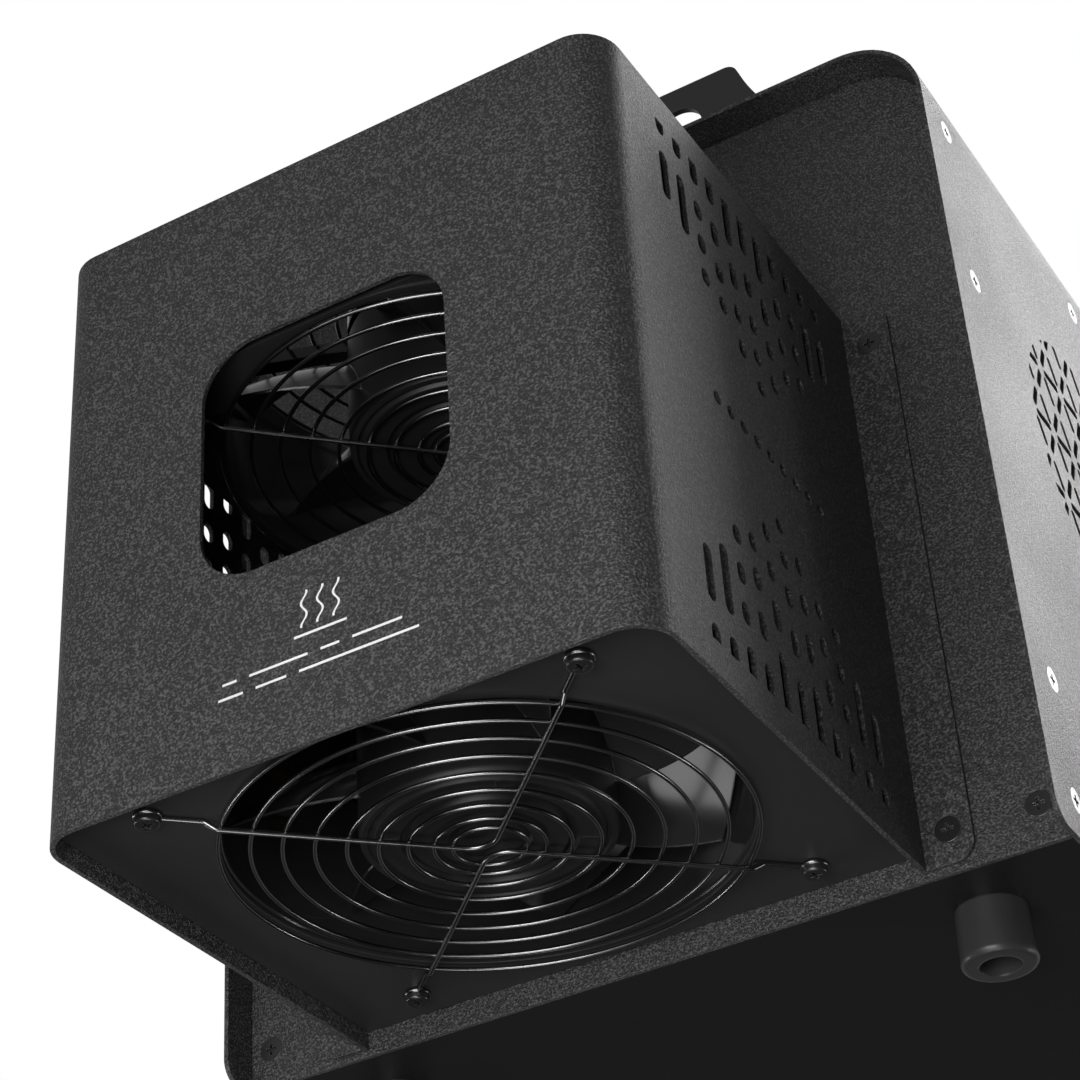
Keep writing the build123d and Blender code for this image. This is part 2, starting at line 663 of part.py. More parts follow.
def pump():
    """Solenoid pump: coil block on a tube with two hose stubs."""
    body = block((-42, 0), (PUMP_Y - 17, PUMP_Y + 17), (PUMP_Z - 17, PUMP_Z + 17))
    body = fillet(body.edges().filter_by(Axis.X), 5)
    body += rod((-56, PUMP_Y, PUMP_Z), 11, 70, "+x")
    body += rod((-66, PUMP_Y, PUMP_Z), HOSE_R, 12, "+x")
    body += rod((13, PUMP_Y, PUMP_Z), HOSE_R, 13, "+x")
    return body


def pump_bracket():
    low = PUMP_Z - 17 - GAP
    bracket = block((-44, 2), (PUMP_Y - 20, PUMP_Y + 20), (low - 1.5, low))
    for side in (-1, 1):
        y = PUMP_Y + side * 19.25
        bracket += block((-44, 2), (y - 0.75, y + 0.75), (SHEET, low))
        bracket += block((-44, 2), (y - 5.75, y + 5.75), (SHEET, SHEET + 1.5))
    return bracket


def hose(points, radii):
    path = FilletPolyline(*points, radius=radii)
    return sweep(Plane(path @ 0, z_dir=path % 0) * Circle(HOSE_R), path=path)


def pressure_hose():
    end = HEATER_Y + HEATER_L + WRAP + 8
    points = [(-66, PUMP_Y, PUMP_Z), (-90, PUMP_Y, PUMP_Z), (-90, PUMP_Y + 18, NOZZLE_Z),
              (0, PUMP_Y + 18, NOZZLE_Z), (0, end, NOZZLE_Z)]
    return hose(points, [10, 14, 14])


def suction_hose():
    return hose([(26, PUMP_Y, PUMP_Z), (58, PUMP_Y, PUMP_Z), (58, TANK_Y - 8, PUMP_Z)], [9])


def fluid_tank():
    """Blow-moulded tank with a filler neck and an outlet stub low on its front."""
    x, y, z = (-TANK_W / 2, TANK_W / 2), (TANK_Y, TANK_Y + TANK_L), (TANK_Z, TANK_Z + TANK_H)
    outer = fillet(block(x, y, z).edges(), 9)
    wall = TANK_WALL
    hollow = block((x[0] + wall, x[1] - wall), (y[0] + wall, y[1] - wall), (z[0] + wall, z[1] - wall))
    hollow = fillet(hollow.edges(), 9 - wall)
    middle = TANK_Y + TANK_L / 2
    tank = outer + rod((0, middle, z[1] - 1), NECK_R, 22)
    tank += rod((58, TANK_Y + 1, PUMP_Z), HOSE_R, 9, "-y")
    tank -= hollow
    tank -= rod((0, middle, z[1] - 8), NECK_R - wall, 40)
    tank -= rod((58, TANK_Y + 5, PUMP_Z), 1.6, 20, "-y")
    return tank


def tank_cap():
    """Knurled screw cap over the neck."""
    middle = TANK_Y + TANK_L / 2
    top = TANK_Z + TANK_H + 21
    cap = tube((0, middle, top - 15), NECK_R + 3, NECK_R + 0.3, 15) + rod((0, middle, top + 0.3), NECK_R + 3, 3.2)
    cap += rod((0, middle, top - 0.5), NECK_R + 3, 1.2) - rod((0, middle, top - 1), NECK_R + 0.3, 1.3)
    for turn in range(24):
        angle = radians(turn * 15)
        place = ((NECK_R + 3.1) * cos(angle), middle + (NECK_R + 3.1) * sin(angle), top - 16)
        cap -= rod(place, 0.8, 21)
    return cap


def pickup_filter():
    """Pick-up tube inside the tank with a mesh filter at its foot."""
    path = FilletPolyline((58, TANK_Y + 4.5, PUMP_Z), (58, TANK_Y + 16, PUMP_Z),
                          (58, TANK_Y + 16, TANK_Z + 12), radius=[5])
    pick = sweep(Plane(path @ 0, z_dir=path % 0) * Circle(1.5), path=path)
    return pick + rod((58, TANK_Y + 16, TANK_Z + TANK_WALL + 1), 4, 10)


def tank_cradle():
    """Folded cradle that carries the tank clear of the tray."""
    x, y = TANK_W / 2 + 1, (TANK_Y - 1, TANK_Y + TANK_L + 1)
    cradle = block((-x, x), y, (TANK_Z - GAP - 1.5, TANK_Z - GAP))
    for side in (-1, 1):
        low, high = sorted((side * x, side * (x + 1.5)))
        cradle += block((low, high), y, (SHEET, TANK_Z + 25))
        low, high = sorted((side * x, side * (x + 14)))
        cradle += block((low, high), y, (SHEET, SHEET + 1.5))
    return cradle


# ---- filler lid ----
def lid_pin_z():
    return BODY_H + 3.2


def tank_lid():
    """Flat lid over the filler opening, with two rolled hinge knuckles and a finger lip."""
    z = BODY_H + 0.4
    lid = block((-LID_HALF, LID_HALF), (LID_Y0, LID_Y1 - 3.5), (z, z + SHEET))
    lid = fillet(lid.edges().filter_by(Axis.Z).group_by(Axis.Y)[0], 6)
    lid += block((-14, 14), (LID_Y0 - 6, LID_Y0 + 2), (z, z + SHEET))
    for side in (-1, 1):
        x = side * 30
        lid += rod((x - 9, LID_Y1, lid_pin_z()), 2.8, 18, "+x")
        lid += block((x - 9, x + 9), (LID_Y1 - 5, LID_Y1), (z, z + SHEET))
        lid -= rod((x - 10, LID_Y1, lid_pin_z()), LID_PIN_R + PIN_CLEARANCE, 20, "+x")
    return lid


def lid_hinge():
    """Fixed hinge leaf with its pin, screwed to the cover."""
    leaf = block((-44, 44), (LID_Y1 + 3.4, LID_Y1 + 13), (BODY_H, BODY_H + 1.2))
    for x0, x1 in ((-44, -39.4), (-20.6, 20.6), (39.4, 44)):
        leaf += rod((x0, LID_Y1, lid_pin_z()), 2.8, x1 - x0, "+x")
        leaf += block((x0, x1), (LID_Y1, LID_Y1 + 5), (BODY_H, BODY_H + 1.2))
    return leaf + rod((-44, LID_Y1, lid_pin_z()), LID_PIN_R, 88, "+x")


# ---- cooling fan ----
def on_right_wall(shape):
    """Turn a fan drawn with its open side at z = 0 to face the right vent from inside."""
    face = BODY_W / 2 - SHEET - 0.3
    return Pos(face, VENT_Y, VENT_Z) * FACING["-x"] * shape


# ---- electronics ----
def control_board():
    """Upright board behind the rear panel with a display header and button switches."""
    y = REAR_Y - 17
    board = block((-56, 56), (y - 1.6, y), (144, 202))
    for x in BUTTON_X:
        board += block((x - 3, x + 3), (y - 0.1, y + 3.5), (BUTTON_Z - 3, BUTTON_Z + 3))
    for x in (-46, 20):
        board += block((x, x + 26), (y - 9, y - 1.5), (146, 156))
    return board


def board_standoffs():
    posts = []
    for x in (-50, 50):
        for z in (149, 197):
            posts.append(rod((x, REAR_Y - 17, z), 2.6, 17 - SHEET, "+y"))
    for x in (-94, -52):
        for y in (30, 160):
            posts.append(rod((x, y, SHEET), 2.6, 8))
    return posts


def power_board():
    """Mains board on the tray with transformer, relays, heat sink and capacitors."""
    x0, z = -98, SHEET + 8
    board = block((x0, x0 + 50), (26, 164), (z, z + 1.6))
    top = z + 1.5
    board += block((x0 + 7, x0 + 39), (34, 70), (top, top + 30))
    for step in range(3):
        y = 80 + step * 18
        board += block((x0 + 5, x0 + 21), (y, y + 13), (top, top + 16))
        board += rod((x0 + 37, y + 6, top), 6, 22)
    for fin in range(6):
        x = x0 + 5 + fin * 7
        board += block((x, x + 2), (138, 158), (top, top + 26))
    return board + block((x0 + 5, x0 + 42), (138, 158), (top, top + 3))


def display_module():
    y = REAR_Y
    bezel = block((-39, 39), (y, y + 2.2), (DISPLAY_Z - 16, DISPLAY_Z + 16))
    bezel = fillet(bezel.edges().filter_by(Axis.Y), 4)
    bezel -= block((-30, 30), (y + 1.2, y + 5), (DISPLAY_Z - 9, DISPLAY_Z + 9))
    return bezel + block((-33.5, 33.5), (y - 8, y + 0.1), (DISPLAY_Z - 11.5, DISPLAY_Z + 11.5))


def menu_button(x):
    """Round cap with a collar behind the panel and a plunger to its switch."""
    y = REAR_Y
    cap = rod((x, y - 3.2, BUTTON_Z), BUTTON_R, 6.2, "+y")
    cap = fillet(cap.edges().filter_by(GeomType.CIRCLE).group_by(Axis.Y)[-1], 0.8)
    cap += rod((x, y - 3.5, BUTTON_Z), BUTTON_R + 1.4, 2.0, "+y")
    return cap + rod((x, y - 11.6, BUTTON_Z), 1.8, 8.5, "+y")


def socket_flange(x, z, width, height):
    y = REAR_Y
    flange = block((x - width / 2, x + width / 2), (y, y + 2.2), (z - height / 2, z + height / 2))
    return fillet(flange.edges().filter_by(Axis.Y), 2.5)


def dmx_socket(x, male):
    """Round three-pole panel connector with a recessed face and its contacts."""
    y = REAR_Y
    shell = socket_flange(x, SOCKET_Z, 26, 31) + rod((x, y + 0.1, SOCKET_Z), 11.8, 20, "-y")
    shell += rod((x, y, SOCKET_Z), 11.8, 3.4, "+y")
    shell -= rod((x, y + 5, SOCKET_Z), 9.4, 20, "-y")
    if not male:
        shell += rod((x, y - 15.5, SOCKET_Z), 8.2, 17.5, "+y")
    for index in range(3):
        angle = radians(210 + index * 120)
        place = (x + 4.2 * cos(angle), y - 15.5, SOCKET_Z + 4.2 * sin(angle))
        if male:
            shell += rod(place, 1.2, 12.5, "+y")
        else:
            shell -= rod(place, 1.4, 20, "+y")
    for side in (-1, 1):
        shell -= rod((x + side * 9.5, y - 1, SOCKET_Z + side * 12), 1.5, 5, "+y")
    return shell


def power_inlet():
    """Flanged mains inlet with a deep recess and three blades."""
    y = REAR_Y
    inlet = socket_flange(INLET_X, SOCKET_Z, 48, 30)
    inlet += block((INLET_X - 14.5, INLET_X + 14.5), (y - 24, y + 0.1), (SOCKET_Z - 11.5, SOCKET_Z + 11.5))
    inlet -= block((INLET_X - 12.5, INLET_X + 12.5), (y - 17, y + 5), (SOCKET_Z - 9, SOCKET_Z + 9))
    for x, z in ((-7, -2.5), (0, 3.5), (7, -2.5)):
        inlet += block((INLET_X + x - 1, INLET_X + x + 1), (y - 18, y - 4),
                       (SOCKET_Z + z - 2.5, SOCKET_Z + z + 2.5))
    for side in (-1, 1):
        inlet -= rod((INLET_X + side * 20, y - 1, SOCKET_Z), 1.7, 5, "+y")
    return inlet


def switch_body():
    y = REAR_Y
    x0, z0 = SWITCH_X, SWITCH_Z
    frame = socket_flange(x0, z0, 32, 25)
    frame += block((x0 - 13.5, x0 + 13.5), (y - 20, y + 0.1), (z0 - 9.5, z0 + 9.5))
    frame -= block((x0 - 11.5, x0 + 11.5), (y - 13, y + 5), (z0 - 8, z0 + 8))
    for side in (-1, 1):
        boss = rod((x0 + side * 11.6, y - 4, z0), 1.0, 1.3, "-x" if side > 0 else "+x")
        frame += boss
    return frame


def switch_rocker():
    """Rocker on side pivots, resting with its lower half pressed in."""
    y = REAR_Y
    x0, z0 = SWITCH_X, SWITCH_Z
    outline = Polyline((-6.8, -5), (-6.8, 2.6), (0, 1.1), (6.8, 2.6), (6.8, -5), close=True)
    face = make_face(Plane((x0 - 11.1, y, z0), x_dir=(0, 0, 1), z_dir=(-1, 0, 0)) * outline)
    rocker = extrude(face, 22.2, dir=(1, 0, 0))
    pivot = Pos(x0, y - 4, z0)
    rocker = pivot * Rot(ROCKER_TILT, 0, 0) * pivot.inverse() * rocker
    rocker -= rod((x0 - 14, y - 4, z0), 1.0 + PIN_CLEARANCE, 28, "+x")
    return rocker


def fuse_holder():
    y = REAR_Y
    holder = rod((FUSE_X, y - 22, FUSE_Z), 6.4, 22.1, "+y") + rod((FUSE_X, y, FUSE_Z), 8.6, 1.6, "+y")
    return holder - rod((FUSE_X, y - 18, FUSE_Z), 4.6, 25, "+y")


def fuse_cap():
    """Slotted bayonet cap with its fuse."""
    y = REAR_Y
    cap = rod((FUSE_X, y + 1.7, FUSE_Z), 6.6, 4.6, "+y")
    cap = fillet(cap.edges().filter_by(GeomType.CIRCLE).group_by(Axis.Y)[-1], 0.8)
    cap += rod((FUSE_X, y - 16, FUSE_Z), 4.5, 18, "+y")
    return cap - block((FUSE_X - 8, FUSE_X + 8), (y + 5, y + 9), (FUSE_Z - 0.7, FUSE_Z + 0.7))


# ---- leads of the hood fans ----
def lead_grommet():
    ring = tube((-67, -2.2, NOZZLE_Z), 5.8, 3.6, 2.0, "+y") + tube((-67, -0.3, NOZZLE_Z), 4.3, 3.6, 2.6, "+y")
    return ring + tube((-67, SHEET + 0.2, NOZZLE_Z), 5.8, 3.6, 1.6, "+y")


def fan_leads():
    leads = []
    for start, end in ((36, NOZZLE_Z - 1.6), (124, NOZZLE_Z + 1.6)):
        path = FilletPolyline((-62.4, -16, start), (-67, -16, start), (-67, -16, end), (-67, 9, end),
                              radius=[2.0, 7.0])
        leads.append(sweep(Plane(path @ 0, z_dir=path % 0) * Circle(1.2), path=path))
    return leads


def export_all():
    os.makedirs("parts", exist_ok=True)
    save("body_cover", body_cover())
    save("front_panel", front_panel())
    save("rear_panel", rear_panel())
    save("base_tray", base_tray())
    save("top_rails", *top_rails())
    save("casing_screws", *cover_screws(), *panel_screws(0, "-y"), *panel_screws(REAR_Y, "+y"))
    save("feet", *feet())
    save("foot_screws", *foot_screws())

    save("hood_shell", hood_shell())
    save("hood_bottom_plate", fan_plate(PLATE_LOW_Z))
    save("hood_top_plate", fan_plate(PLATE_TOP_Z))
    save("hood_screws", *hood_screws())
    frame = fan_frame(FAN, FAN_DEPTH, 57.5, 28.5, FAN_HOLES, 2.2)
    rotor = fan_rotor(28.5, 56.6, FAN_DEPTH, 7, 0.7)
    guard = fan_guard()
    lower, upper = Pos(0, FAN_Y, LOWER_FAN_Z), Pos(0, FAN_Y, UPPER_FAN_Z)
    save("lower_fan_frame", lower * frame)
    save("lower_fan_rotor", lower * rotor)
    save("lower_fan_guard", Pos(0, FAN_Y, PLATE_LOW_Z) * guard)
    save("upper_fan_frame", upper * frame)
    save("upper_fan_rotor", upper * Rot(0, 0, 17) * rotor)
    save("upper_fan_guard", upper * guard)
    outlet = PLATE_TOP_Z + PLATE
    save("top_guard", Pos(0, FAN_Y, outlet) * Rot(180, 0, 0) * guard)
    save("fan_screws", *fan_screws(PLATE_LOW_Z, "-z"), *fan_screws(UPPER_FAN_Z, "-z"),
         *fan_screws(outlet, "+z"))

    save("front_hanging_bracket", hanging_bracket())
    save("rear_hanging_bracket", turned_to_rear(hanging_bracket()))
    save("bracket_screws", *bracket_screws())
    save("handle_blocks", *handle_blocks())
    save("carry_handle", carry_handle())

    save("nozzle", nozzle())
    save("nozzle_nut", nozzle_nut())
    save("heater_block", heater_block())
    save("heater_insulation", heater_insulation())
    save("heater_case", heater_case())
    save("heater_stands", *heater_stands())
    save("thermostat", thermostat())
    save("pump", pump())
    save("pump_bracket", pump_bracket())
    save("pressure_hose", pressure_hose())
    save("suction_hose", suction_hose())
    save("fluid_tank", fluid_tank())
    save("tank_cap", tank_cap())
    save("pickup_filter", pickup_filter())
    save("tank_cradle", tank_cradle())
    save("tank_lid", tank_lid())
    save("lid_hinge", lid_hinge())

    save("cooling_fan_frame", on_right_wall(fan_frame(COOLING_FAN, COOLING_DEPTH, 38, 17, 71.5, 2.1)))
    save("cooling_fan_rotor", on_right_wall(fan_rotor(17, 37.2, COOLING_DEPTH, 7, -0.5)))
    save("power_board", power_board())
    save("control_board", control_board())
    save("board_standoffs", *board_standoffs())
    save("display_module", display_module())
    for number, x in enumerate(BUTTON_X, start=1):
        save(f"menu_button_{number}", menu_button(x))
    save("dmx_input", dmx_socket(DMX_X[0], True))
    save("dmx_output", dmx_socket(DMX_X[1], False))
    save("power_inlet", power_inlet())
    save("switch_body", switch_body())
    save("switch_rocker", switch_rocker())
    save("fuse_holder", fuse_holder())
    save("fuse_cap", fuse_cap())
    save("fan_leads", lead_grommet(), *fan_leads())


export_all()
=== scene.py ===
import json
from math import cos, pi, radians, sin

import bmesh
import bpy
from mathutils import Matrix, Vector


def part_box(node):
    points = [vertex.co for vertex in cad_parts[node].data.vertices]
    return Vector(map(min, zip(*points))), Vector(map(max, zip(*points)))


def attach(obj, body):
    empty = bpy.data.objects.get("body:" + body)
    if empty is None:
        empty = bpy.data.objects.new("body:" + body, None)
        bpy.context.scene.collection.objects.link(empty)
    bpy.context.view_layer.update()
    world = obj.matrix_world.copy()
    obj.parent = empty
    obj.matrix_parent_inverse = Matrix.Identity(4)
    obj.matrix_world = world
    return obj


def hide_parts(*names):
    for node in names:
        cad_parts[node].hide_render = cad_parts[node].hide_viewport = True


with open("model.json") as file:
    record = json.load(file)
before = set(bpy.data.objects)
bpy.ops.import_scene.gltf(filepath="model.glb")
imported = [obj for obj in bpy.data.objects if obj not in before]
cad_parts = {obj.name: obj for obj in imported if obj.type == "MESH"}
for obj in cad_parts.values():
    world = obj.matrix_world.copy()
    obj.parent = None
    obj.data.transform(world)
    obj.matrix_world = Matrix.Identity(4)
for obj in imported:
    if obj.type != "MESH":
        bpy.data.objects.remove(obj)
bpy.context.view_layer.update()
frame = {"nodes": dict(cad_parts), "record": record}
MM = 0.001
SMOOTH_ANGLE = 35.0             # degrees; flatter creases are shaded smooth
MERGE_MM = 0.002

# ---- fan sizes in mm and degrees; the rotors' open faces in m ----
HUB_RADIUS = 28.5
TIP_RADIUS = 56.4
BORE_RADIUS = 57.5
BORE_LIP = 1.1
ROTOR_DEPTH = 38.0
HUB_CLEARANCE = 7               # the cup stops this far short of the frame's rear
BLADES = 7
BLADE_MIDDLE = 0.46             # share of the depth
BLADE_ROOT_IN = 1.0
ROOT_CHORD, CHORD_GAIN = 0.66, 0.36
ROOT_PITCH, PITCH_LOSS = 48, 18
CAMBER = 0.085
RIM_THICK, BODY_THICK, TIP_THINNING = 0.7, 1.5, 0.4
SWEEP, SWEEP_POWER = 16, 1.3
LOWER_FACE, UPPER_FACE = 0.0213, 0.1274
LOWER_TURN, UPPER_TURN = 0.0, 17.0
RIB_FIRST, RIB_COUNT = 35, 4

# ---- printed marks in mm ----
INK = 0.04
STROKE = 0.6
HEAT_LINE, HEAT_STROKE, HEAT_SPACING, HEAT_LEVEL = 9.0, 0.55, 4.0, 34.0
HEAT_WAVE, HEAT_WAVELENGTH, HEAT_CUTS = 0.7, 5.6, 28
MARK_MIDDLE = -1
BAR_LENGTH, BAR_LEVEL = 13.0, 27.6
DASH_GAP = 3.2
DASH_ROWS = ((22.7, -25.5, (3.6, 14.5, 4.6, 12.0)), (19.2, -26.5, (6.2, 7.6, 29.0)))
RULE_INK, RULE_STROKE = 0.05, 0.5
RULE_FRAMES = ((-98, -24, 90, 150), (-10, 98, 44, 150), (-52, 52, 160, 222))

# ---- display and button marks in mm ----
SCREEN_WIDTH, SCREEN_THICK, SCREEN_TALL = 59.6, 0.7, 17.6
SCREEN_INSET = 1.0
SCREEN_RIM = 0.25
LIT_THICK, LIT_STANDOFF = 0.12, 0.74
LIT_BARS, BAR_WIDTH, FIRST_BAR_X, BAR_SPACING = 12, 2.2, 18, 3.1
SHORTEST_BAR, BAR_STEP, BAR_FOOT = 2.0, 0.9, 6.4
UNDERLINE, UNDERLINE_TALL, UNDERLINE_DROP = 44, 0.5, 7.4
MARK_THICK = 0.12
MENU_LINE, MENU_LINE_TALL, MENU_LINE_STEP = 3.4, 0.6, 1.2
ARROW_RADIUS = 2.0
RING_IN, RING_OUT, RING_STEPS = 1.3, 1.9, 32

# ---- floor, light and camera, in m and W ----
FLOOR_LEVEL, FLOOR_REACH = -0.75, 14.0
LIGHTS = (                      # name, place, target, width, height, power
    ("front_softbox", (-0.45, -1.9, 0.05), (0, 0, 0.1), 1.0, 1.1, 6),
    ("front_low_fill", (0.10, -0.78, -0.22), (0.04, -0.1, 0.02), 0.4, 0.25, 3.2),
    ("rear_right_softbox", (0.86, 2.45, 2.2), (0.1, 0, 0.12), 1.1, 1.5, 30),
    ("low_left_strip", (-0.9, -0.2, -0.40), (0, -0.2, 0.03), 0.06, 0.4, 1.2),
    ("low_right_strip", (0.75, 0.45, -0.40), (0, -0.2, 0.03), 0.06, 0.4, 1.2),
    ("floor_glow", (0.05, -0.375, -0.70), (0, -0.195, 0.03), 0.40, 0.36, 1.8),
)
CAMERA_PLACE = (0.2636, -0.6526, -0.2741)
CAMERA_TARGET = (-0.0168, -0.1317, 0.1439)
CAMERA_LENS, CAMERA_SENSOR = 92.56, 36.0
CAMERA_ROLL = -4.03


# ---- shared surface effects ----
def new_group(name, inputs, outputs):
    """Empty shader group with named sockets; each entry is (name, kind, default)."""
    group = bpy.data.node_groups.new(name, "ShaderNodeTree")
    for direction, sockets in (("INPUT", inputs), ("OUTPUT", outputs)):
        for label, kind, default in sockets:
            socket = group.interface.new_socket(
                label, in_out=direction, socket_type="NodeSocket" + kind)
            if default is not None:
                socket.default_value = default
    return group, group.nodes.new("NodeGroupInput"), group.nodes.new("NodeGroupOutput")


def node(tree, kind, settings=None, values=None):
    made = tree.nodes.new("ShaderNode" + kind)
    for key, value in (settings or {}).items():
        setattr(made, key, value)
    for key, value in (values or {}).items():
        made.inputs[key].default_value = value
    return made


def calc(tree, operation, first, second, clamp=False):
    """One math step; each operand is a socket or a number."""
    step = node(tree, "Math", {"operation": operation, "use_clamp": clamp})
    for index, value in enumerate((first, second)):
        if isinstance(value, (int, float)):
            step.inputs[index].default_value = value
        else:
            tree.links.new(value, step.inputs[index])
    return step.outputs[0]


def spread(tree, value, low, high, to_low, to_high):
    ranged = node(tree, "MapRange", {"clamp": True}, {1: low, 2: high, 3: to_low, 4: to_high})
    tree.links.new(value, ranged.inputs[0])
    return ranged.outputs[0]


def noise(tree, vector, scale, detail=2.0, roughness=0.5):
    made = node(tree, "TexNoise", {}, {"Detail": detail, "Roughness": roughness})
    tree.links.new(vector, made.inputs["Vector"])
    if isinstance(scale, (int, float)):
        made.inputs["Scale"].default_value = scale
    else:
        tree.links.new(scale, made.inputs["Scale"])
    return made.outputs["Fac"]


def powder_grain_group():
    """Fine stipple of a baked powder coat: a height, light flecks and a soft mottle."""
    group, given, result = new_group(
        "powder_grain",
        [("Vector", "Vector", None), ("Scale", "Float", 2400.0)],
        [("Height", "Float", None), ("Fleck", "Float", None), ("Mottle", "Float", None)])
    vector, scale = given.outputs["Vector"], given.outputs["Scale"]
    fine = noise(group, vector, scale, 2.0, 0.6)
    coarse = noise(group, vector, calc(group, "MULTIPLY", scale, 0.42), 1.0)
    group.links.new(calc(group, "ADD", calc(group, "MULTIPLY", fine, 0.65),
                         calc(group, "MULTIPLY", coarse, 0.35)), result.inputs["Height"])
    speck = noise(group, vector, calc(group, "MULTIPLY", scale, 0.8), 0.0)
    group.links.new(spread(group, speck, 0.46, 0.74, 0.0, 1.0), result.inputs["Fleck"])
    soft = noise(group, vector, calc(group, "MULTIPLY", scale, 0.011), 3.0)
    group.links.new(spread(group, soft, 0.3, 0.7, 0.0, 1.0), result.inputs["Mottle"])
    return group


def rim_wear_group():
    """Wear mask along the outer edges of a piece, from its rounded normal."""
    group, given, result = new_group(
        "rim_wear",
        [("Vector", "Vector", None), ("Breakup", "Float", 180.0), ("Strength", "Float", 1.0),
         ("Rounded", "Vector", None)],
        [("Mask", "Float", None)])
    flat = node(group, "NewGeometry")
    dot = node(group, "VectorMath", {"operation": "DOT_PRODUCT"})
    group.links.new(given.outputs["Rounded"], dot.inputs[0])
    group.links.new(flat.outputs["Normal"], dot.inputs[1])
    turn = calc(group, "SUBTRACT", 1.0, dot.outputs["Value"])
    edge = spread(group, turn, 0.02, 0.25, 0.0, 1.0)
    broken = noise(group, given.outputs["Vector"], given.outputs["Breakup"], 3.0)
    patches = calc(group, "MULTIPLY", edge, spread(group, broken, 0.35, 0.65, 0.15, 1.0))
    group.links.new(calc(group, "MULTIPLY", patches, given.outputs["Strength"], True),
                    result.inputs["Mask"])
    return group


def settled_dust_group():
    """Pale dust on faces that look up, thinner in broad random patches."""
    group, given, result = new_group(
        "settled_dust",
        [("Vector", "Vector", None), ("Amount", "Float", 0.1)],
        [("Mask", "Float", None)])
    flat = node(group, "NewGeometry")
    parts = node(group, "SeparateXYZ")
    group.links.new(flat.outputs["Normal"], parts.inputs[0])
    upward = spread(group, parts.outputs["Z"], 0.3, 1.0, 0.0, 1.0)
    vector = given.outputs["Vector"]
    broad = spread(group, noise(group, vector, 14.0, 4.0), 0.35, 0.7, 0.2, 1.0)
    specks = spread(group, noise(group, vector, 900.0, 1.0), 0.45, 0.75, 0.3, 1.0)
    lying = calc(group, "MULTIPLY", upward, calc(group, "MULTIPLY", broad, specks))
    group.links.new(calc(group, "MULTIPLY", lying, given.outputs["Amount"], True),
                    result.inputs["Mask"])
    return group


def drawn_lines_group():
    """Fine drawn lines of rolled or turned metal along the object's X."""
    group, given, result = new_group(
        "drawn_lines",
        [("Vector", "Vector", None), ("Scale", "Float", 300.0)],
        [("Height", "Float", None), ("Tone", "Float", None)])
    stretch = node(group, "VectorMath", {"operation": "MULTIPLY"})
    stretch.inputs[1].default_value = (0.06, 1.0, 1.0)
    group.links.new(given.outputs["Vector"], stretch.inputs[0])
    lines = noise(group, stretch.outputs[0],
                  calc(group, "MULTIPLY", given.outputs["Scale"], 6.0), 3.0, 0.7)
    group.links.new(lines, result.inputs["Height"])
    group.links.new(spread(group, lines, 0.3, 0.7, 0.0, 1.0), result.inputs["Tone"])
    return group


GRAIN = powder_grain_group()
WEAR = rim_wear_group()
DUST = settled_dust_group()
DRAWN = drawn_lines_group()


def put_group(tree, group, vector, values):
    placed = node(tree, "Group")
    placed.node_tree = group
    tree.links.new(vector, placed.inputs["Vector"])
    for key, value in values.items():
        placed.inputs[key].default_value = value
    return placed


def blend_colours(tree, factor, first, second):
    mixed = node(tree, "Mix", {"data_type": "RGBA"})
    for value, index in ((first, 6), (second, 7)):
        if isinstance(value, tuple):
            mixed.inputs[index].default_value = value
        else:
            tree.links.new(value, mixed.inputs[index])
    tree.links.new(factor, mixed.inputs[0])
    return mixed.outputs[2]


def grey(value, warm=0.0):
    return (value * (1 + warm), value, value * (1 - warm), 1.0)


FLECK_COLOUR = grey(0.32)
BARE_EDGE = grey(0.35)
DUST_COLOUR = grey(0.42, 0.03)
DUST_ROUGHENING = 0.5
COAT_ROUGHNESS = 0.08
SOFT_DEPTH = (0.004, 0.003, 0.002)
LINES_SCALE = 300.0


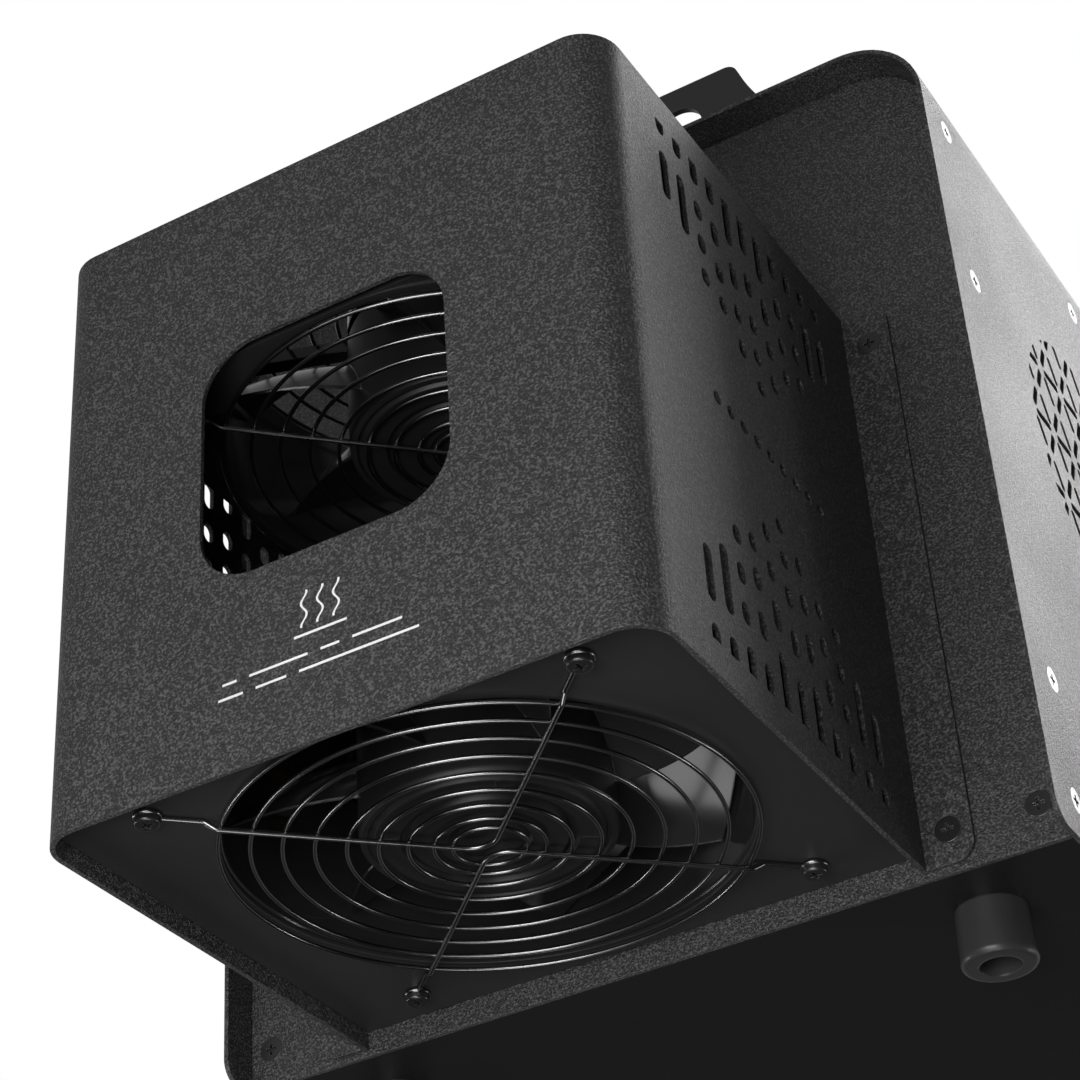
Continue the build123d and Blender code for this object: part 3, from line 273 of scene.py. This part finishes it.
def finish(name, colour, rough, metal=0.0, ior=1.5, coat=0.0, grain=2400.0, grain_depth=0.02,
           fleck=0.0, mottle=0.10, rough_change=0.06, edge=0.25, edge_colour=BARE_EDGE,
           wear=0.0, dust=0.05, lines=0.0, clear=0.0, glow=None, soft=0.0):
    """One painted, moulded or metal finish with its grain, rounded and worn rims and dust."""
    made = bpy.data.materials.new(name)
    made.use_nodes = True
    tree = made.node_tree
    tree.nodes.clear()
    out = node(tree, "OutputMaterial")
    shader = node(tree, "BsdfPrincipled", {}, {
        "IOR": ior, "Coat Weight": coat, "Coat Roughness": COAT_ROUGHNESS,
        "Transmission Weight": clear, "Subsurface Weight": soft, "Metallic": metal})
    if soft:
        shader.inputs["Subsurface Radius"].default_value = SOFT_DEPTH
    tree.links.new(shader.outputs[0], out.inputs[0])
    place = node(tree, "TexCoord").outputs["Object"]
    grains = put_group(tree, GRAIN, place, {"Scale": grain})
    rounded = node(tree, "Bevel", {"samples": 4}, {"Radius": edge * MM})
    worn = put_group(tree, WEAR, place, {"Strength": wear})
    tree.links.new(rounded.outputs[0], worn.inputs["Rounded"])
    dusty = put_group(tree, DUST, place, {"Amount": dust})
    dark = tuple(c * (1 - mottle) for c in colour[:3]) + (1.0,)
    light = tuple(min(1.0, c * (1 + mottle)) for c in colour[:3]) + (1.0,)
    shade = blend_colours(tree, grains.outputs["Mottle"], dark, light)
    height = grains.outputs["Height"]
    if fleck:
        amount = calc(tree, "MULTIPLY", grains.outputs["Fleck"], fleck)
        shade = blend_colours(tree, amount, shade, FLECK_COLOUR)
    if lines:
        drawn = put_group(tree, DRAWN, place, {"Scale": LINES_SCALE})
        amount = calc(tree, "MULTIPLY", drawn.outputs["Tone"], lines)
        shade = blend_colours(tree, amount, shade, light)
        height = calc(tree, "ADD", height, drawn.outputs["Height"])
    if wear:
        shade = blend_colours(tree, worn.outputs["Mask"], shade, edge_colour)
    shade = blend_colours(tree, dusty.outputs["Mask"], shade, DUST_COLOUR)
    tree.links.new(shade, shader.inputs["Base Color"])
    rough_now = spread(tree, grains.outputs["Mottle"], 0.0, 1.0,
                       rough - rough_change, rough + rough_change)
    dulled = calc(tree, "MULTIPLY", dusty.outputs["Mask"], DUST_ROUGHENING)
    tree.links.new(calc(tree, "ADD", rough_now, dulled, True), shader.inputs["Roughness"])
    bump = node(tree, "Bump", {}, {"Distance": grain_depth * MM, "Strength": 1.0})
    tree.links.new(height, bump.inputs["Height"])
    tree.links.new(rounded.outputs[0], bump.inputs["Normal"])
    tree.links.new(bump.outputs[0], shader.inputs["Normal"])
    if glow:
        shader.inputs["Emission Color"].default_value = glow[0]
        shader.inputs["Emission Strength"].default_value = glow[1]
    return made


FINISHES = {
    "casing_powder_coat": dict(colour=grey(0.020), rough=0.42, grain=2300.0, grain_depth=0.55,
                               fleck=0.24, mottle=0.05, rough_change=0.03, edge=0.45, wear=0.10),
    "fan_plate_paint": dict(colour=grey(0.020), rough=0.42, grain=3200.0, grain_depth=0.012,
                            mottle=0.06, edge=0.35, wear=0.06, dust=0.06),
    # The tray's black paint is made darker and less shiny than the same paint on the fan plate:
    # painted shade for the dim underside.
    "shade_darkened_tray_paint": dict(colour=grey(0.006), rough=0.50, ior=1.36, grain=3000.0, mottle=0.06,
                       edge=0.35, dust=0.04),
    "hub_satin": dict(colour=grey(0.010), rough=0.46, ior=1.40, grain_depth=0.006, mottle=0.06,
                      edge=0.3),
    "bracket_paint": dict(colour=grey(0.026), rough=0.40, grain=2600.0, edge=0.5, wear=0.18),
    "black_screws": dict(colour=grey(0.075), rough=0.28, metal=0.8, grain_depth=0.005, edge=0.2,
                         wear=0.6, edge_colour=grey(0.5)),
    "zinc_steel": dict(colour=(0.56, 0.57, 0.60, 1), rough=0.34, metal=1.0, grain_depth=0.006,
                       mottle=0.12, lines=0.3, edge=0.2),
    "foot_plastic": dict(colour=grey(0.034), rough=0.30, grain_depth=0.004, mottle=0.05,
                         edge=0.8, dust=0.04),
    "fan_plastic": dict(colour=grey(0.016), rough=0.16, grain_depth=0.004, mottle=0.05, edge=0.6),
    "guard_wire": dict(colour=grey(0.20), rough=0.26, metal=1.0, grain_depth=0.002, edge=0.05,
                       dust=0.03),
    "handle_steel": dict(colour=grey(0.04), rough=0.32, metal=0.5, grain_depth=0.006, edge=0.4,
                         wear=0.2),
    "brass": dict(colour=(0.72, 0.48, 0.19, 1), rough=0.28, metal=1.0, grain_depth=0.004,
                  lines=0.35, edge=0.3),
    "cast_aluminium": dict(colour=(0.60, 0.60, 0.61, 1), rough=0.48, metal=1.0, grain=900.0,
                           grain_depth=0.08, mottle=0.2, edge=0.8, dust=0.1),
    "insulation_wool": dict(colour=(0.70, 0.66, 0.55, 1), rough=0.92, grain=500.0,
                            grain_depth=0.5, mottle=0.2, edge=1.5, dust=0.0),
    "thermostat_ceramic": dict(colour=(0.75, 0.72, 0.66, 1), rough=0.35, grain_depth=0.01,
                               edge=0.4),
    "pump_plastic": dict(colour=(0.05, 0.055, 0.06, 1), rough=0.4, grain_depth=0.01, edge=0.5),
    "clear_hose": dict(colour=(0.85, 0.87, 0.88, 1), rough=0.15, grain_depth=0.003, clear=0.7,
                       edge=0.2, dust=0.0),
    "tank_plastic": dict(colour=(0.74, 0.75, 0.72, 1), rough=0.42, grain=1200.0, soft=0.3,
                         mottle=0.04, edge=1.2),
    "cap_plastic": dict(colour=grey(0.02), rough=0.38, edge=0.5, wear=0.1, dust=0.12),
    "filter_plastic": dict(colour=(0.55, 0.56, 0.55, 1), rough=0.5, grain_depth=0.01),
    "board_laminate": dict(colour=(0.015, 0.11, 0.045, 1), rough=0.38, grain=1600.0,
                           grain_depth=0.03, mottle=0.25, fleck=0.08),
    "display_plastic": dict(colour=grey(0.018), rough=0.30, grain_depth=0.006, edge=0.5),
    "button_plastic": dict(colour=grey(0.03), rough=0.45, grain_depth=0.012, edge=0.4, wear=0.1),
    "socket_metal": dict(colour=(0.42, 0.43, 0.45, 1), rough=0.35, metal=1.0, grain_depth=0.006,
                         lines=0.2, edge=0.4),
    "inlet_plastic": dict(colour=grey(0.02), rough=0.42, grain_depth=0.012, edge=0.4, dust=0.06),
    "rocker_plastic": dict(colour=(0.35, 0.012, 0.010, 1), rough=0.28, grain_depth=0.006,
                           edge=0.5),
    "lead_rubber": dict(colour=grey(0.022), rough=0.55, edge=0.3),
}
materials = {slot: finish(slot, **values) for slot, values in FINISHES.items()}
for part in frame["record"]["subparts"]:
    cad = frame["nodes"][part["node"]]
    cad.data.materials.clear()
    cad.data.materials.append(materials[part["material_slot"]])
# The base tray gets the darkened black paint: painted shade on the underside.
frame["nodes"]["base_tray"].data.materials[0] = materials["shade_darkened_tray_paint"]


# ---- making a piece ----
def piece_from(mesh, name, material, body="chassis"):
    """Closes a bmesh into a piece at the origin, smooth across shallow angles, riding on a body."""
    bmesh.ops.recalc_face_normals(mesh, faces=mesh.faces)
    for face in mesh.faces:
        face.smooth = True
    for edge in mesh.edges:
        edge.smooth = edge.is_manifold and edge.calc_face_angle(0.0) < radians(SMOOTH_ANGLE)
    data = bpy.data.meshes.new(name)
    mesh.to_mesh(data)
    mesh.free()
    made = bpy.data.objects.new(name, data)
    bpy.context.scene.collection.objects.link(made)
    data.materials.append(material)
    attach(made, body)
    return made


def lathe(mesh, outline, steps=96):
    """Full turn of an outline of (radius, height) about Z; closed at the axis by merging."""
    verts = [mesh.verts.new((radius, 0, height)) for radius, height in outline]
    edges = [mesh.edges.new(pair) for pair in zip(verts, verts[1:])]
    bmesh.ops.spin(mesh, geom=verts + edges, cent=(0, 0, 0), axis=(0, 0, 1), angle=2 * pi,
                   steps=steps, use_merge=True)
    bmesh.ops.remove_doubles(mesh, verts=mesh.verts, dist=0.001)


def divided_cube(cuts=()):
    """Unit cube in a bmesh of its own, divided along chosen axes."""
    part = bmesh.new()
    bmesh.ops.create_cube(part, size=1.0)
    for axis, number in cuts:
        along = [e for e in part.edges if abs(e.verts[0].co[axis] - e.verts[1].co[axis]) > 0.5]
        bmesh.ops.subdivide_edges(part, edges=along, cuts=number, use_grid_fill=True)
    return part


def join(mesh, part):
    """Adds a finished part to a mesh."""
    carrier = bpy.data.meshes.new("carrier")
    part.to_mesh(carrier)
    part.free()
    mesh.from_mesh(carrier)
    bpy.data.meshes.remove(carrier)


def slab(mesh, size, middle, cuts=0, bend=None, turn=None):
    """Thin bar; with cuts it is divided along X so that bend can shape it."""
    part = divided_cube(((0, cuts),) if cuts else ())
    bmesh.ops.scale(part, verts=part.verts, vec=size)
    if bend:
        for vert in part.verts:
            bend(vert)
    if turn:
        bmesh.ops.rotate(part, verts=part.verts, cent=(0, 0, 0), matrix=turn)
    bmesh.ops.translate(part, verts=part.verts, vec=middle)
    join(mesh, part)


def stand_up(mesh, angle=90, axis="X"):
    bmesh.ops.rotate(mesh, verts=mesh.verts, cent=(0, 0, 0),
                     matrix=Matrix.Rotation(radians(angle), 3, axis))


def to_metres(mesh, place):
    """Shrinks a mesh made in mm and puts it in its place in m."""
    bmesh.ops.scale(mesh, verts=mesh.verts, vec=(MM, MM, MM))
    bmesh.ops.translate(mesh, verts=mesh.verts, vec=place)


# ---- fans ----
def rotor_hub(mesh):
    """Motor cup with stepped rings on its face and four short ribs."""
    hub, rear = HUB_RADIUS, ROTOR_DEPTH - HUB_CLEARANCE
    lathe(mesh, (
        (0, -0.1), (8.6, -0.1), (9.2, -0.7), (hub * 0.60, -0.7), (hub * 0.62, 0.5),
        (hub * 0.67, 0.5), (hub * 0.69, -0.6), (hub * 0.88, -0.6), (hub * 0.90, 0.3),
        (hub * 0.925, 0.3), (hub * 0.94, -0.4), (hub * 0.975, -0.2), (hub * 0.995, 0.5),
        (hub, 1.4), (hub, rear), (0, rear)))
    for rib in range(RIB_COUNT):
        spun = Matrix.Rotation(radians(RIB_FIRST + 360 / RIB_COUNT * rib), 3, "Z")
        slab(mesh, (hub * 0.17, 0.9, 0.5), spun @ Vector((hub * 0.785, 0, -0.42)), turn=spun)


def rotor_blade(mesh, turn):
    """Cambered blade, thick at its middle, thin at its rims, swept and untwisting to its tip."""
    blade = divided_cube(((0, 20), (1, 16)))
    middle = ROTOR_DEPTH * BLADE_MIDDLE
    root = HUB_RADIUS - BLADE_ROOT_IN
    for vert in blade.verts:
        across, out, side = vert.co.x, max(0.0, vert.co.y + 0.5), vert.co.z
        fullness = 1 - (2 * across) ** 2
        radius = root + out * (TIP_RADIUS - root)
        chord = ROTOR_DEPTH * (ROOT_CHORD + CHORD_GAIN * out)
        pitch = radians(ROOT_PITCH - PITCH_LOSS * out)
        thick = RIM_THICK + BODY_THICK * (1 - TIP_THINNING * out) * fullness
        rise = CAMBER * chord * fullness + side * thick
        tangent = across * chord * cos(pitch) + rise * sin(pitch)
        level = rise * cos(pitch) - across * chord * sin(pitch)
        angle = radians(turn - SWEEP * out ** SWEEP_POWER) + tangent / radius
        vert.co = (radius * cos(angle), radius * sin(angle), middle + level)
    join(mesh, blade)


def fan_rotor_piece(name, node_name, guard_node, face_z, turn, body):
    """Seven-blade rotor on the axis of its guard, with its open face at face_z."""
    low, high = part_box(guard_node)
    axis = (low + high) / 2
    mesh = bmesh.new()
    rotor_hub(mesh)
    for face in mesh.faces:
        face.material_index = 1
    for index in range(BLADES):
        rotor_blade(mesh, turn + 360 * index / BLADES)
    to_metres(mesh, (axis.x, axis.y, face_z))
    made = piece_from(mesh, name, materials["fan_plastic"], body)
    made.data.materials.append(materials["hub_satin"])
    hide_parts(node_name)


def fan_housing_piece(name, node_name):
    """Fan frame with its bore's mouth turned out to a soft glossy lip."""
    mesh = bmesh.new()
    mesh.from_mesh(frame["nodes"][node_name].data)
    bmesh.ops.remove_doubles(mesh, verts=mesh.verts, dist=MERGE_MM * MM)
    low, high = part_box(node_name)
    axis = (low + high) / 2

    def on_mouth(vert):
        off_bore = abs((vert.co.xy - axis.xy).length - BORE_RADIUS * MM)
        return abs(vert.co.z - low.z) < 0.01 * MM and off_bore < 0.1 * MM

    mouth = [e for e in mesh.edges if all(on_mouth(v) for v in e.verts)]
    bmesh.ops.bevel(mesh, geom=mouth, offset=BORE_LIP * MM, offset_type="OFFSET", segments=5,
                    profile=0.5, affect="EDGES", material=-1, clamp_overlap=True)
    made = piece_from(mesh, name, materials["fan_plastic"])
    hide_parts(node_name)


# ---- printed marks and the display ----
def print_material(name, tone):
    """Screen ink: a little uneven, matt, and thin over the coat's grain."""
    return finish(name, grey(tone, 0.01), 0.55, grain=2300.0, grain_depth=0.03, mottle=0.08,
                  edge=0.02, dust=0.03)


def wave(height, length):
    def bend(vert):
        vert.co.z += height * sin(2 * pi * vert.co.x / length)
    return bend


def hood_mark(ink):
    """Three rising heat lines over a bar, with two rows of plain dashes under them."""
    mesh = bmesh.new()
    upright = Matrix.Rotation(radians(-90), 3, "Y")
    for step in (-1, 0, 1):
        slab(mesh, (HEAT_LINE, INK, HEAT_STROKE),
             (MARK_MIDDLE + step * HEAT_SPACING, 0, HEAT_LEVEL), HEAT_CUTS,
             wave(HEAT_WAVE, HEAT_WAVELENGTH), upright)
    slab(mesh, (BAR_LENGTH, INK, STROKE), (MARK_MIDDLE, 0, BAR_LEVEL))
    for level, start, dashes in DASH_ROWS:
        place = start
        for length in dashes:
            slab(mesh, (length, INK, STROKE), (place + length / 2, 0, level))
            place += length + DASH_GAP
    low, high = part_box("hood_shell")
    to_metres(mesh, (0, low.y - 0.01 * MM, 14.0 * MM))
    piece_from(mesh, "hood_printed_mark", ink)


def display_face():
    """Tinted screen with lit level bars, set in the bezel's window."""
    low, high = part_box("display_module")
    middle = (low + high) / 2
    face_y = high.y - SCREEN_INSET * MM
    mesh = bmesh.new()
    slab(mesh, (SCREEN_WIDTH * MM, SCREEN_THICK * MM, SCREEN_TALL * MM),
         (middle.x, face_y + SCREEN_THICK / 2 * MM, middle.z))
    rim = [e for e in mesh.edges if abs(e.calc_face_angle(0)) > 1]
    bmesh.ops.bevel(mesh, geom=rim, offset=SCREEN_RIM * MM, segments=2, profile=0.5,
                    affect="EDGES", material=-1)
    glass = finish("screen_glass", (0.004, 0.012, 0.030, 1), 0.08, grain_depth=0.0005,
                   edge=0.05, dust=0.04)
    piece_from(mesh, "display_screen", glass)
    mesh = bmesh.new()
    lit_y = face_y + LIT_STANDOFF * MM
    for step in range(LIT_BARS):
        tall = SHORTEST_BAR + BAR_STEP * step
        slab(mesh, (BAR_WIDTH * MM, LIT_THICK * MM, tall * MM),
             (middle.x + (FIRST_BAR_X - step * BAR_SPACING) * MM, lit_y,
              middle.z + (tall / 2 - BAR_FOOT) * MM))
    slab(mesh, (UNDERLINE * MM, LIT_THICK * MM, UNDERLINE_TALL * MM),
         (middle.x, lit_y, middle.z - UNDERLINE_DROP * MM))
    lit = finish("screen_light", (0.25, 0.75, 0.95, 1), 0.4, grain_depth=0.001, edge=0.02,
                 dust=0.0, glow=((0.25, 0.75, 1.0, 1), 1.6))
    piece_from(mesh, "display_bars", lit)


def button_marks(ink):
    """Raised bars, two arrows and a ring on the four menu buttons."""
    half = MARK_THICK / 2
    for index in (1, 2, 3, 4):
        node_name = f"menu_button_{index}"
        low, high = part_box(node_name)
        middle = (low + high) / 2
        mesh = bmesh.new()
        if index == 1:
            for step in (-1, 0, 1):
                slab(mesh, (MENU_LINE, MARK_THICK, MENU_LINE_TALL),
                     (0, 0, step * MENU_LINE_STEP))
        elif index in (2, 3):
            bmesh.ops.create_cone(mesh, cap_ends=True, segments=3, radius1=ARROW_RADIUS,
                                  radius2=ARROW_RADIUS, depth=MARK_THICK)
            stand_up(mesh)
            stand_up(mesh, 180 * (index == 3), "Y")
        else:
            lathe(mesh, ((RING_IN, -half), (RING_OUT, -half), (RING_OUT, half), (RING_IN, half),
                         (RING_IN, -half)), RING_STEPS)
            stand_up(mesh)
        to_metres(mesh, (middle.x, high.y, middle.z))
        piece_from(mesh, f"menu_mark_{index}", ink, f"menu_button_{index}")


def panel_rules(ink):
    """Thin printed frames that group the rear controls."""
    low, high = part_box("rear_panel")
    mesh = bmesh.new()
    for left, right, bottom, top in RULE_FRAMES:
        across, up = (left + right) / 2, (bottom + top) / 2
        for x, z, width, tall in ((across, bottom, right - left, RULE_STROKE),
                                  (across, top, right - left, RULE_STROKE),
                                  (left, up, RULE_STROKE, top - bottom),
                                  (right, up, RULE_STROKE, top - bottom)):
            slab(mesh, (width * MM, RULE_INK * MM, tall * MM), (x * MM, high.y, z * MM))
    piece_from(mesh, "rear_panel_rules", ink)


white_ink = print_material("white_ink", 0.80)
grey_ink = print_material("grey_ink", 0.45)
hood_mark(white_ink)
fan_rotor_piece("lower_rotor_blades", "lower_fan_rotor", "lower_fan_guard", LOWER_FACE,
                LOWER_TURN, "lower_fan_rotor")
fan_rotor_piece("upper_rotor_blades", "upper_fan_rotor", "upper_fan_guard", UPPER_FACE,
                UPPER_TURN, "upper_fan_rotor")
fan_housing_piece("lower_fan_housing", "lower_fan_frame")
fan_housing_piece("upper_fan_housing", "upper_fan_frame")
display_face()
button_marks(grey_ink)
panel_rules(grey_ink)


# ---- floor, light and camera ----
def floor_material():
    """Matt pale floor, clear when seen from below."""
    made = bpy.data.materials.new("pale_floor")
    made.use_nodes = True
    tree = made.node_tree
    shader = tree.nodes["Principled BSDF"]
    place = node(tree, "TexCoord").outputs["Object"]
    mottle = spread(tree, noise(tree, place, 3.0, 3.0), 0.3, 0.7, 0.55, 0.65)
    tree.links.new(mottle, shader.inputs["Roughness"])
    shader.inputs["Base Color"].default_value = grey(0.82)
    sides = node(tree, "MixShader")
    tree.links.new(node(tree, "NewGeometry").outputs["Backfacing"], sides.inputs[0])
    tree.links.new(shader.outputs[0], sides.inputs[1])
    tree.links.new(node(tree, "BsdfTransparent").outputs[0], sides.inputs[2])
    tree.links.new(sides.outputs[0], tree.nodes["Material Output"].inputs[0])
    return made


def studio_floor():
    mesh = bmesh.new()
    bmesh.ops.create_grid(mesh, x_segments=1, y_segments=1, size=FLOOR_REACH,
                          matrix=Matrix.Translation((0, 0, FLOOR_LEVEL)))
    data = bpy.data.meshes.new("studio_floor")
    mesh.to_mesh(data)
    mesh.free()
    floor = bpy.data.objects.new("studio_floor", data)
    bpy.context.scene.collection.objects.link(floor)
    data.materials.append(floor_material())
    floor.visible_diffuse = False
    floor.visible_glossy = False


def soft_light(name, place, target, width, height, power):
    lamp = bpy.data.lights.new(name, "AREA")
    lamp.shape = "RECTANGLE"
    lamp.size, lamp.size_y, lamp.energy = width, height, power
    made = bpy.data.objects.new(name, lamp)
    made.location = place
    away = Vector(target) - Vector(place)
    made.rotation_euler = away.to_track_quat("-Z", "Y").to_euler()
    bpy.context.scene.collection.objects.link(made)
    made.visible_camera = False


def studio_world():
    """White to the camera; as light it is bright behind, dim in front, below and far right."""
    world = bpy.data.worlds.new("studio_surround")
    bpy.context.scene.world = world
    world.use_nodes = True
    tree = world.node_tree
    tree.nodes.clear()
    out = node(tree, "OutputWorld")
    seen = node(tree, "Background", {}, {"Color": (1, 1, 1, 1), "Strength": 1.0})
    lit = node(tree, "Background", {}, {"Strength": 1.0})
    way = node(tree, "SeparateXYZ")
    tree.links.new(node(tree, "TexCoord").outputs["Generated"], way.inputs[0])
    rear = spread(tree, way.outputs["Y"], 0.05, 0.95, 0.21, 0.80)
    above = spread(tree, way.outputs["Z"], -0.45, 0.35, 0.012, 1.0)
    right = spread(tree, way.outputs["X"], 0.50, 0.95, 1.0, 0.12)
    tree.links.new(calc(tree, "MULTIPLY", right, calc(tree, "MULTIPLY", rear, above)),
                   lit.inputs["Color"])
    switch = node(tree, "MixShader")
    tree.links.new(node(tree, "LightPath").outputs["Is Camera Ray"], switch.inputs[0])
    tree.links.new(lit.outputs[0], switch.inputs[1])
    tree.links.new(seen.outputs[0], switch.inputs[2])
    tree.links.new(switch.outputs[0], out.inputs[0])


def studio_camera():
    """Low viewpoint in front of the hood and to its right, looking up."""
    place, target = Vector(CAMERA_PLACE), Vector(CAMERA_TARGET)
    lens = bpy.data.cameras.new("studio_camera")
    lens.lens, lens.sensor_width = CAMERA_LENS, CAMERA_SENSOR
    lens.clip_start, lens.clip_end = 0.01, 50.0
    made = bpy.data.objects.new("studio_camera", lens)
    turn = (target - place).to_track_quat("-Z", "Y").to_matrix().to_4x4()
    roll = Matrix.Rotation(radians(CAMERA_ROLL), 4, "Z")
    made.matrix_world = Matrix.Translation(place) @ turn @ roll
    bpy.context.scene.collection.objects.link(made)
    bpy.context.scene.camera = made


studio_floor()
studio_world()
for light in LIGHTS:
    soft_light(*light)
studio_camera()
scene = bpy.context.scene
scene.view_settings.view_transform = "Standard"
scene.view_settings.look = "None"
